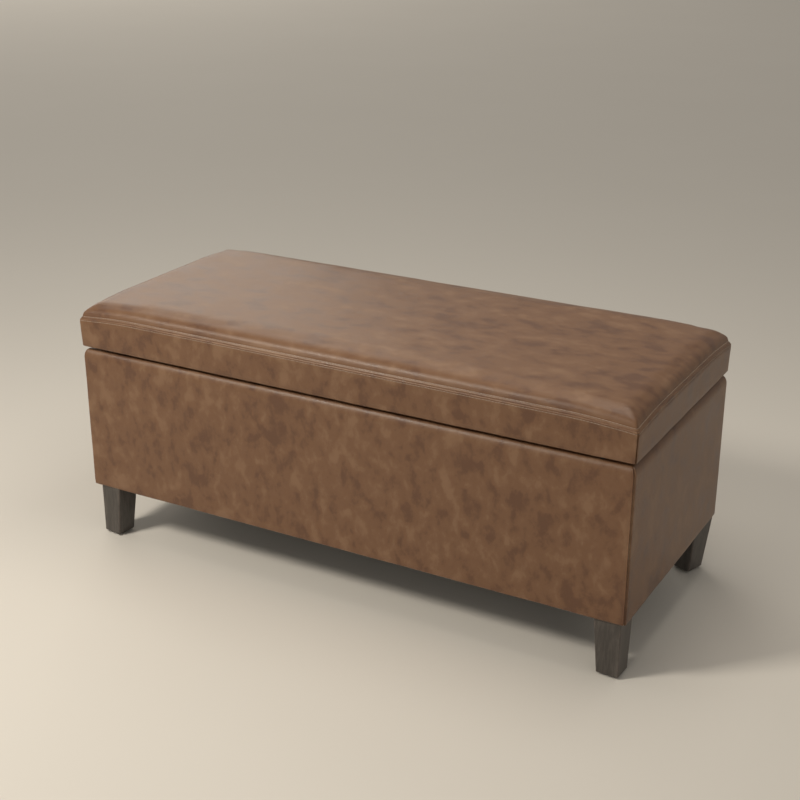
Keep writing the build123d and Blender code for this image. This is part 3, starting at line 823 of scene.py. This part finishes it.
class BENCH_OT_body_covers(Operator):
    """Make the four leather walls of the body, sewn at the corners"""
    bl_idname = "bench.body_covers"
    bl_label = "Body Covers"

    def execute(self, context):
        cover = context.scene.bench_covers
        low, high = BODY_LOW, BODY_HIGH
        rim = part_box("front_cover")[1].y - low.y
        shell = wall_box("body_covers", low, high, cover.corner_round, cover.top_roll)
        round_bottom(low, cover.bottom_round)
        square_corners(high.z)
        pick_level("FACE", high.z)
        bpy.ops.mesh.inset(thickness=rim - cover.top_roll)
        bpy.ops.mesh.extrude_region_move(
            TRANSFORM_OT_translate={"value": (0, 0, -cover.hem_down)})
        bpy.ops.mesh.delete(type="FACE")
        turn_under(low, cover.hem_under - cover.bottom_round)
        cut_across(low, high, COVER_ROWS, CLOTH_GRID)
        mark_corner_seams(corner_test(low, high, rim + SEAM_MARGIN))
        pull_in_corners(corner_test(low, high, SEAM_REACH), cover.seam_depth)
        walls = split_walls(shell, {wall: wall + "_cover_leather" for wall in WALLS})
        for wall, piece in walls.items():
            uneven(piece, cover.unevenness, COVER_WAVES)
            thicken(piece, cover.thickness)
            dress(piece, "body_leather", "box", "body_leather", wall + "_cover")
        return {"FINISHED"}


class BENCH_OT_body_foam(Operator):
    """Make the foam under the leather walls"""
    bl_idname = "bench.body_foam"
    bl_label = "Body Foam"

    def execute(self, context):
        cover = context.scene.bench_covers
        gap = Vector((cover.foam_gap, cover.foam_gap, cover.thickness))
        low, high = BODY_LOW + gap, BODY_HIGH - gap
        roll = cover.top_roll - FOAM_ROLL_LESS
        shell = wall_box("body_foam", low, high, cover.corner_round, roll)
        pick_level("FACE", low.z, high.z)
        bpy.ops.mesh.delete(type="FACE")
        cut_across(low, high, FOAM_ROWS, FOAM_GRID)
        mark_corner_seams(corner_test(low, high, FOAM_SEAM_REACH))
        names = {wall: wall + "_foam" for wall in WALLS}
        for wall, piece in split_walls(shell, names).items():
            thicken(piece, cover.foam_thickness)
            dress(piece, "foam", "box", "foam", wall + "_padding")
        return {"FINISHED"}


# ---- Lid --------------------------------------------------------------------------------------
def seam_height(x, y):
    """Height of the seam round the seat: it stands highest along the sides."""
    lid = bpy.context.scene.bench_lid
    from_corner = math.hypot(LID_HIGH.x - abs(x), LID_HIGH.y - abs(y))
    rise = min(1.0, from_corner / lid.bow_reach)
    return SEAM_LEVEL + lid.seam_bow * (math.sin(rise * math.pi / 2) - BOW_BELOW)


def lean_in(rise):
    """How far the topstitched leather leans in, at a height above or below the seam."""
    lid = bpy.context.scene.bench_lid
    reach = bpy.context.scene.bench_stitch.offset * LEAN_REACH
    if rise < 0:
        return lid.band_lean * max(0.0, 1.0 + rise / reach) ** 2
    return lid.band_lean + lid.seat_lean * min(1.0, rise / reach)


def settle_band(piece):
    """Lift the top of a band to the seam, and lean it out, then in at its stitches."""
    lid = bpy.context.scene.bench_lid
    height = SEAM_LEVEL - LID_LOW.z
    for vert in piece.data.vertices:
        spot = vert.co
        share = max(0.0, (spot.z - LID_LOW.z) / height)
        out = share * lid.flare - lean_in(min(0.0, spot.z - SEAM_LEVEL))
        spot.z += share * (seam_height(spot.x, spot.y) - SEAM_LEVEL)
        spot.x *= 1.0 + out / LID_HIGH.x
        spot.y *= 1.0 + out / LID_HIGH.y


# Rings beside a row of stitches, as shares of its distance from the seam, and the last near one.
STITCH_RINGS = (0.3, 0.67, 1.0, 1.33)
LAST_NEAR_RING = 1.8
STITCHED_RING = 3
FAR_RINGS = 8
FLAT_COLUMNS = 72
FLAT_ROWS = 28


def ring_heights():
    """Heights above the seam of the rings round the seat's edge. The fourth is the stitched one."""
    offset = bpy.context.scene.bench_stitch.offset
    rise = bpy.context.scene.bench_lid.crown_rise
    near = [offset * share for share in (0.0, *STITCH_RINGS, LAST_NEAR_RING)]
    far = [near[-1] + (rise - near[-1]) * math.sin(math.pi / 2 * step / FAR_RINGS)
           for step in range(1, FAR_RINGS)]
    return near + far


def ring_distances(reach):
    """Distances of those rings from the outline of the seat."""
    lid = bpy.context.scene.bench_lid
    return [reach * (1 - (1 - (height / lid.crown_rise) ** lid.fullness) ** (1 / lid.fullness))
            for height in ring_heights()]


def grid_places(half, flat_steps):
    """Places of the grid lines from one side of the seat to the other."""
    reach = bpy.context.scene.bench_lid.crown_reach
    edge = [half - distance for distance in ring_distances(reach)]
    flat = [(half - reach) * (1 - 2 * step / flat_steps) for step in range(flat_steps + 1)]
    return [-line for line in edge] + sorted(flat) + edge[::-1]


def crown(distance, reach):
    """Share of the crown's rise at a distance from the outline of the seat."""
    fullness = bpy.context.scene.bench_lid.fullness
    short = max(0.0, 1.0 - distance / reach)
    return (1.0 - short ** fullness) ** (1 / fullness)


def from_outline(x, y, half_x, half_y):
    """Distance from the outline, smoothed where two sides meet."""
    side = half_x - abs(x)
    end = half_y - abs(y)
    if min(side, end) < TINY:
        return max(0.0, min(side, end))
    return (side ** -3 + end ** -3) ** (-1 / 3)


def round_corner(x, y, half_x, half_y, radius):
    """Move a point of a square corner onto the rounded one."""
    over_x = abs(x) - (half_x - radius)
    over_y = abs(y) - (half_y - radius)
    if over_x <= 0 or over_y <= 0:
        return x, y
    new_x = over_x * math.sqrt(1.0 - (over_y / radius) ** 2 / 2)
    new_y = over_y * math.sqrt(1.0 - (over_x / radius) ** 2 / 2)
    return math.copysign(half_x - radius + new_x, x), math.copysign(half_y - radius + new_y, y)


def start_seat(name, inset):
    """A crowned sheet over the cushion, in object mode, with its stitched ring's vertices."""
    lid = bpy.context.scene.bench_lid
    stitch = bpy.context.scene.bench_stitch
    half_x = LID_HIGH.x + lid.flare - inset
    half_y = LID_HIGH.y + lid.flare - inset
    xs = grid_places(half_x, FLAT_COLUMNS)
    ys = grid_places(half_y, FLAT_ROWS)
    last_x, last_y = len(xs) - 1, len(ys) - 1
    piece = start_grid(name, last_x, last_y)
    bpy.ops.object.mode_set(mode="OBJECT")
    ring = []
    for vert in piece.data.vertices:
        column = round((vert.co.x + 1) / 2 * last_x)
        row = round((vert.co.y + 1) / 2 * last_y)
        x, y = xs[column], ys[row]
        depth = min(column, row, last_x - column, last_y - row)
        share = crown(from_outline(x, y, half_x, half_y), lid.crown_reach)
        dome = lid.dome * (1 - (x / half_x) ** 2) * (1 - (y / half_y) ** 2)
        rise = (lid.crown_rise - inset + dome) * share
        x, y = round_corner(x, y, half_x, half_y, lid.corner_round)
        pull = {0: lid.lip, STITCHED_RING: stitch.channel}.get(depth, 0.0) + lean_in(rise)
        vert.co = (x * (1 - pull / half_x), y * (1 - pull / half_y), seam_height(x, y) + rise)
        if depth == STITCHED_RING:
            ring.append(vert.index)
    piece.data.update()
    return piece, ring


# How the leather behaves as it swells.
CLOTH = {
    "quality": 5,
    "mass": 0.5,
    "tension_stiffness": 20.0,
    "compression_stiffness": 20.0,
    "bending_stiffness": 4.0,
    "use_pressure": True,
}


def puff_up(piece, held_height):
    """Let the seat's leather swell over its foam, held all round the stitched seam."""
    lid = bpy.context.scene.bench_lid
    before = [(vert.co.copy(), vert.normal.copy()) for vert in piece.data.vertices]
    held = piece.vertex_groups.new(name="held")
    for vert in piece.data.vertices:
        if vert.co.z < seam_height(vert.co.x, vert.co.y) + held_height:
            held.add([vert.index], 1.0, "REPLACE")
    make_active(piece)
    cloth = piece.modifiers.new("Cloth", "CLOTH")
    settings = cloth.settings
    for key, value in CLOTH.items():
        setattr(settings, key, value)
    settings.uniform_pressure_force = lid.pressure
    settings.shrink_min = -lid.ease
    settings.vertex_group_mass = "held"
    settings.effector_weights.gravity = 0.0
    scene = bpy.context.scene
    for step in range(1, SWELL_FRAMES + 1):
        scene.frame_set(step)
    bpy.ops.object.modifier_apply(modifier=cloth.name)
    scene.frame_set(1)
    for vert, (start, outward) in zip(piece.data.vertices, before):
        shift = (vert.co - start).dot(outward)
        vert.co = start + outward * max(-lid.swell * SINK, min(lid.swell, shift))
    piece.data.update()
    piece.vertex_groups.clear()


def tuck_edge(width, rise):
    """Turn the open edge in, towards the middle of the lid, to make a seam's valley."""
    size = LID_HIGH - LID_LOW
    for share, turn in ((0.35, 1.0), (0.65, -0.4)):
        bpy.ops.mesh.extrude_region_move()
        inward = width * share
        bpy.ops.transform.resize(value=(1 - 2 * inward / size.x, 1 - 2 * inward / size.y, 1))
        move(z=rise * turn)


def ring_points(piece, ring, proud):
    """Places of a ring of vertices, in order round the lid and a little off the surface."""
    verts = [piece.data.vertices[index] for index in ring]
    points = [vert.co + vert.normal * proud for vert in verts]
    return sorted(points, key=lambda spot: math.atan2(spot.y / LID_HIGH.y, spot.x / LID_HIGH.x))


def repeat_along(piece, points, pitch):
    """Repeat a small piece along a closed line."""
    curve = bpy.data.curves.new(piece.name + "_line", "CURVE")
    curve.dimensions = "3D"
    spline = curve.splines.new("POLY")
    spline.points.add(len(points) - 1)
    for point, spot in zip(spline.points, points):
        point.co = (*spot, 1.0)
    spline.use_cyclic_u = True
    line = bpy.data.objects.new(curve.name, curve)
    bpy.context.scene.collection.objects.link(line)
    finish_modifier(piece, "ARRAY", fit_type="FIT_CURVE", curve=line, use_relative_offset=False,
                    use_constant_offset=True, constant_offset_displace=(pitch, 0, 0))
    finish_modifier(piece, "CURVE", object=line, deform_axis="POS_X")
    bpy.data.objects.remove(line)
    bpy.data.curves.remove(curve)


def sew_row(name, points):
    """A row of topstitches along a closed line."""
    stitch = bpy.context.scene.bench_stitch
    bpy.ops.object.select_all(action="DESELECT")
    bpy.ops.mesh.primitive_cylinder_add(vertices=6, radius=stitch.thread, depth=stitch.stitch,
                                        rotation=(0, math.pi / 2, 0), end_fill_type="NGON")
    piece = open_piece(name)
    for end in (-1, 1):
        pick("FACE", lambda face: face.normal.x * end > FACING)
        bpy.ops.mesh.inset(thickness=stitch.thread * 0.45, depth=stitch.thread * 0.5)
    close_piece(80)
    repeat_along(piece, points, stitch.pitch)
    dress(piece, "thread", "lid", "lid_leather")


class BENCH_OT_lid_bands(Operator):
    """Make the side bands of the lid, sewn at the corners and turned under, and their stitches"""
    bl_idname = "bench.lid_bands"
    bl_label = "Lid Bands"

    def execute(self, context):
        scene = context.scene
        lid = scene.bench_lid
        stitch = scene.bench_stitch
        low = LID_LOW
        high = Vector((LID_HIGH.x, LID_HIGH.y, SEAM_LEVEL))
        size = high - low
        shell = wall_box("lid_bands", low, high, lid.corner_round, 0.0)
        round_bottom(low, lid.bottom_round)
        turn_under(low, lid.hem_width - lid.bottom_round)
        pick_level("FACE", high.z)
        bpy.ops.mesh.delete(type="ONLY_FACE")
        cut_across(low, high, BAND_ROWS, CLOTH_GRID)
        for share in STITCH_RINGS:
            bpy.ops.mesh.select_all(action="SELECT")
            bpy.ops.mesh.bisect(plane_co=(0, 0, high.z - stitch.offset * share),
                                plane_no=(0, 0, 1))
        pick_level("EDGE", high.z)
        tuck_edge(lid.seam_tuck, STEEP_LIP)
        mark_corner_seams(corner_test(low, high, lid.hem_width + SEAM_MARGIN))
        stitched = high.z - stitch.offset
        for near_level, pull in ((lambda vert: abs(vert.co.z - stitched) < TINY, stitch.channel),
                                 (lambda vert: vert.co.z > high.z - TINY, lid.lip)):
            pick("VERT", near_level)
            bpy.ops.transform.resize(value=(1 - 2 * pull / size.x, 1 - 2 * pull / size.y, 1))
        pull_in_corners(corner_test(low, high, SEAM_REACH), scene.bench_covers.seam_depth)
        bpy.ops.object.mode_set(mode="OBJECT")
        ring = [vert.index for vert in shell.data.vertices
                if abs(vert.co.z - high.z + stitch.offset) < TINY]
        settle_band(shell)
        uneven(shell, scene.bench_covers.unevenness * BAND_UNEVEN, BAND_WAVES)
        sew_row("band_stitches", ring_points(shell, ring, stitch.thread * THREAD_PROUD))
        reopen(shell)
        names = {wall: "lid_" + wall + "_band_leather" for wall in WALLS}
        walls = split_walls(shell, names)
        for wall, piece in walls.items():
            thicken(piece, scene.bench_covers.thickness)
            dress(piece, "body_leather", "lid", "lid_leather", "lid_" + wall + "_band")
        return {"FINISHED"}


class BENCH_OT_seat(Operator):
    """Make the crowned top of the cushion, its stitches and the foam inside it"""
    bl_idname = "bench.seat"
    bl_label = "Seat"

    def execute(self, context):
        scene = context.scene
        lid = scene.bench_lid
        stitch = scene.bench_stitch
        seat, ring = start_seat("seat_leather", 0.0)
        puff_up(seat, stitch.offset * HELD_REACH)
        uneven(seat, lid.unevenness, SEAT_WAVES)
        sew_row("seat_stitches", ring_points(seat, ring, stitch.thread * THREAD_PROUD))
        reopen(seat)
        pick("EDGE", lambda edge: edge.is_boundary)
        tuck_edge(lid.seam_tuck, -STEEP_LIP)
        bpy.ops.object.mode_set(mode="OBJECT")
        thicken(seat, scene.bench_covers.thickness, 60)
        dress(seat, "lid_leather", "lid", "lid_leather", "lid_top_cover")

        core, _ = start_seat("seat_foam", scene.bench_covers.thickness + SEAT_FOAM_GAP)
        bpy.ops.object.mode_set(mode="EDIT")
        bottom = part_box("lid_foam")[0].z + FOAM_GAP
        board_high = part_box("lid_board")[1]
        pick("EDGE", lambda edge: edge.is_boundary)
        bpy.ops.mesh.extrude_region_move()
        bpy.ops.transform.resize(value=(1, 1, 0), center_override=(0, 0, bottom))
        bpy.ops.mesh.extrude_region_move()
        bpy.ops.transform.resize(value=((board_high.x + FOAM_GAP) / (LID_HIGH.x - 2 * FOAM_GAP),
                                        (board_high.y + FOAM_GAP) / (LID_HIGH.y - 2 * FOAM_GAP), 1))
        bpy.ops.mesh.extrude_region_move()
        move(z=board_high.z - bottom + POCKET_GAP)
        bpy.ops.mesh.edge_face_add()
        close_piece()
        dress(core, "foam", "lid", "foam", "lid_foam")
        return {"FINISHED"}


# ---- Linings ----------------------------------------------------------------------------------
def staple_row(name, low, high, body):
    """Staples round the edge of a lining that is fixed from below."""
    fixing = bpy.context.scene.bench_fixings
    margin = fixing.staple_margin
    level = low.z - STAPLE_PROUD
    half_wire = fixing.staple_wire / 2
    piece = start_box(name, Vector((0, -half_wire, -half_wire)),
                      Vector((fixing.staple_length, half_wire, half_wire)))
    pick("EDGE", lambda edge: abs(span(edge).x) > TINY)
    round_edges(fixing.staple_wire * 0.3, 1)
    pick("FACE", lambda face: abs(face.normal.x) > FACING)
    bpy.ops.mesh.extrude_region_move(TRANSFORM_OT_translate={"value": (0, 0, STAPLE_LEG)})
    close_piece()
    left, right = low.x + margin, high.x - margin
    front, back = low.y + margin, high.y - margin
    corners = ((right, front), (right, back), (left, back), (left, front))
    repeat_along(piece, [Vector((x, y, level)) for x, y in corners], fixing.staple_pitch)
    dress(piece, "zinc_steel", body, "zinc_steel")


class BENCH_OT_linings(Operator):
    """Make the felt inside the box and under the lid, and the cloth under the base"""
    bl_idname = "bench.linings"
    bl_label = "Linings"

    def execute(self, context):
        fixing = context.scene.bench_fixings
        self.walls(fixing)
        for name, node, body, slot, face_up, height in (
                ("floor_felt", "floor_lining", "box", "lining", True, FLOOR_FELT_HEIGHT),
                ("lid_felt", "lid_lining", "lid", "lining", False, LID_FELT_HEIGHT),
                ("under_cloth", "dust_cover", "box", "dust_cloth", False, UNDER_CLOTH_HEIGHT)):
            self.panel(name, node, body, slot, face_up, height)
        for name, node, body in (("lid_felt_staples", "lid_lining", "lid"),
                                 ("under_cloth_staples", "dust_cover", "box")):
            low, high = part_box(node)
            staple_row(name, low, high, body)
        return {"FINISHED"}

    def walls(self, fixing):
        """Felt round the inside of the walls."""
        low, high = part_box("wall_lining")
        edge = Vector((fixing.felt, fixing.felt, 0))
        low, high = low + edge, high - edge
        piece = start_box("wall_felt", low, high)
        pick("EDGE", lambda edge: abs(span(edge).z) > TINY)
        round_edges(WALL_FELT_CORNER, 3)
        pick("FACE", lambda face: abs(face.normal.z) > FACING)
        bpy.ops.mesh.delete(type="FACE")
        cut_across(low, high, FELT_ROWS, WALL_FELT_GRID)
        bpy.ops.mesh.select_all(action="SELECT")
        bpy.ops.mesh.flip_normals()
        bpy.ops.object.mode_set(mode="OBJECT")
        uneven(piece, WALL_FELT_HEIGHT, WALL_FELT_WAVES)
        thicken(piece, fixing.felt * FELT_PRESSED)
        dress(piece, "lining", "box", "lining", "wall_lining")

    def panel(self, name, node, body, slot, face_up, height):
        """One flat piece of cloth, with its edge folded over where it is fixed from below."""
        fixing = bpy.context.scene.bench_fixings
        low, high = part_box(node)
        size = high - low
        centre = (low + high) / 2
        piece = start_grid(name, round(size.x / CLOTH_GRID), round(size.y / CLOTH_GRID))
        bpy.ops.transform.resize(value=(size.x / 2, size.y / 2, 1))
        move(centre.x, centre.y, high.z if face_up else low.z)
        if not face_up:
            bpy.ops.mesh.select_all(action="SELECT")
            bpy.ops.mesh.flip_normals()
            self.fold(low, high, fixing.fold)
        bpy.ops.object.mode_set(mode="OBJECT")
        uneven(piece, height, PANEL_WAVES)
        thicken(piece, fixing.felt * FELT_PRESSED, 40)
        dress(piece, slot, body, slot, node)

    def fold(self, low, high, width):
        """Raise a step where the folded edge makes the cloth double."""
        for axis, line in ((0, low.x + width), (0, high.x - width), (1, low.y + width),
                           (1, high.y - width)):
            normal = (1, 0, 0) if axis == 0 else (0, 1, 0)
            for side in (-FOLD_EDGE, FOLD_EDGE):
                point = [0.0, 0.0, 0.0]
                point[axis] = line + side
                bpy.ops.mesh.select_all(action="SELECT")
                bpy.ops.mesh.bisect(plane_co=point, plane_no=normal)
        pick("VERT", lambda vert: min(high.x - vert.co.x, vert.co.x - low.x, high.y - vert.co.y,
                                      vert.co.y - low.y) > width)
        move(z=FOLD_STEP)


# ---- Stage ------------------------------------------------------------------------------------
FLOOR_TONES = ((0.65, 0.62, 0.57, 1.0), (0.67, 0.64, 0.59, 1.0))
SKY_COLOUR = (1.0, 0.95, 0.88, 1.0)
LAMP_AIM = Vector((0, 0, 0.3))
FILM_WIDTH = 36.0        # the lens is given for film this wide, in millimetres

# Name of each lamp, the first word of its settings, and its height for its width.
LAMPS = (
    ("key", "key", 1.0),
    ("window", "window", 1.35),
    ("overhead", "top", 1.0),
    ("side_fill", "side", 1.0),
    ("front_fill", "fill", 1.0),
)


class BENCH_OT_stage(Operator):
    """Set up the floor, the lights and the camera"""
    bl_idname = "bench.stage"
    bl_label = "Stage"

    def execute(self, context):
        scene = context.scene
        stage = scene.bench_stage
        bpy.ops.object.select_all(action="DESELECT")
        bpy.ops.mesh.primitive_circle_add(vertices=96, radius=stage.floor_radius,
                                          fill_type="NGON")
        floor = open_piece("floor")
        bpy.ops.mesh.select_all(action="SELECT")
        bpy.ops.mesh.inset(thickness=stage.floor_radius * 0.8)
        close_piece()
        material, tree, shader = new_material("Stage Floor", Roughness=0.85)
        tone = add_noise(tree, add_mapping(tree), 1.5, 2.0)
        connect(tree, shader, Base_Color=add_mix(tree, tone, *FLOOR_TONES))
        floor.data.materials.append(material)

        for name, kind, stretch in LAMPS:
            spot = Vector(getattr(stage, kind + "_place"))
            bpy.ops.object.light_add(type="AREA", location=spot)
            lamp = context.object
            lamp.name = name
            lamp.data.shape = "RECTANGLE"
            lamp.data.size = getattr(stage, kind + "_size")
            lamp.data.size_y = lamp.data.size * stretch
            lamp.data.energy = getattr(stage, kind + "_power")
            lamp.data.color = stage.lamp_tint
            lamp.rotation_euler = (LAMP_AIM - spot).to_track_quat("-Z", "Y").to_euler()
        world = bpy.data.worlds.new("studio")
        world.use_nodes = True
        background = world.node_tree.nodes["Background"]
        background.inputs["Color"].default_value = SKY_COLOUR
        background.inputs["Strength"].default_value = stage.sky
        scene.world = world

        bpy.ops.object.camera_add(location=stage.camera_place)
        camera = context.object
        camera.data.lens = stage.focal_length
        camera.data.sensor_width = FILM_WIDTH
        camera.rotation_euler = (math.pi / 2 - stage.elevation, 0.0, stage.azimuth)
        scene.camera = camera
        scene.view_settings.view_transform = "Standard"
        return {"FINISHED"}


# ---- Sidebar and registration -----------------------------------------------------------------
class BENCH_PT_sidebar(Panel):
    """Buttons for each building step, and boxes with the bench's settings"""
    bl_idname = "BENCH_PT_sidebar"
    bl_label = "Storage Bench"
    bl_space_type = "VIEW_3D"
    bl_region_type = "UI"
    bl_category = "Bench"

    def draw(self, context):
        for operator in OPERATORS:
            self.layout.operator(operator.bl_idname)
        for name in SETTINGS:
            group = getattr(context.scene, name)
            box = self.layout.box()
            for key in group.__annotations__:
                box.prop(group, key)


SETTINGS = {
    "bench_covers": BenchCoverSettings,
    "bench_lid": BenchLidSettings,
    "bench_stitch": BenchStitchSettings,
    "bench_fixings": BenchFixingSettings,
    "bench_finish": BenchFinishSettings,
    "bench_stage": BenchStageSettings,
}
OPERATORS = (
    BENCH_OT_finishes,
    BENCH_OT_body_covers,
    BENCH_OT_body_foam,
    BENCH_OT_lid_bands,
    BENCH_OT_seat,
    BENCH_OT_linings,
    BENCH_OT_stage,
)


def register():
    for settings in SETTINGS.values():
        bpy.utils.register_class(settings)
    for name, settings in SETTINGS.items():
        setattr(bpy.types.Scene, name, PointerProperty(type=settings))
    for operator in OPERATORS:
        bpy.utils.register_class(operator)
    bpy.utils.register_class(BENCH_PT_sidebar)


def unregister():
    bpy.utils.unregister_class(BENCH_PT_sidebar)
    for operator in reversed(OPERATORS):
        bpy.utils.unregister_class(operator)
    for name, settings in SETTINGS.items():
        delattr(bpy.types.Scene, name)
        bpy.utils.unregister_class(settings)


def main():
    """Build the bench."""
    register()
    bpy.ops.bench.finishes()
    bpy.ops.bench.body_covers()
    bpy.ops.bench.body_foam()
    bpy.ops.bench.lid_bands()
    bpy.ops.bench.seat()
    bpy.ops.bench.linings()
    bpy.ops.bench.stage()


if __name__ == "__main__":
    main()
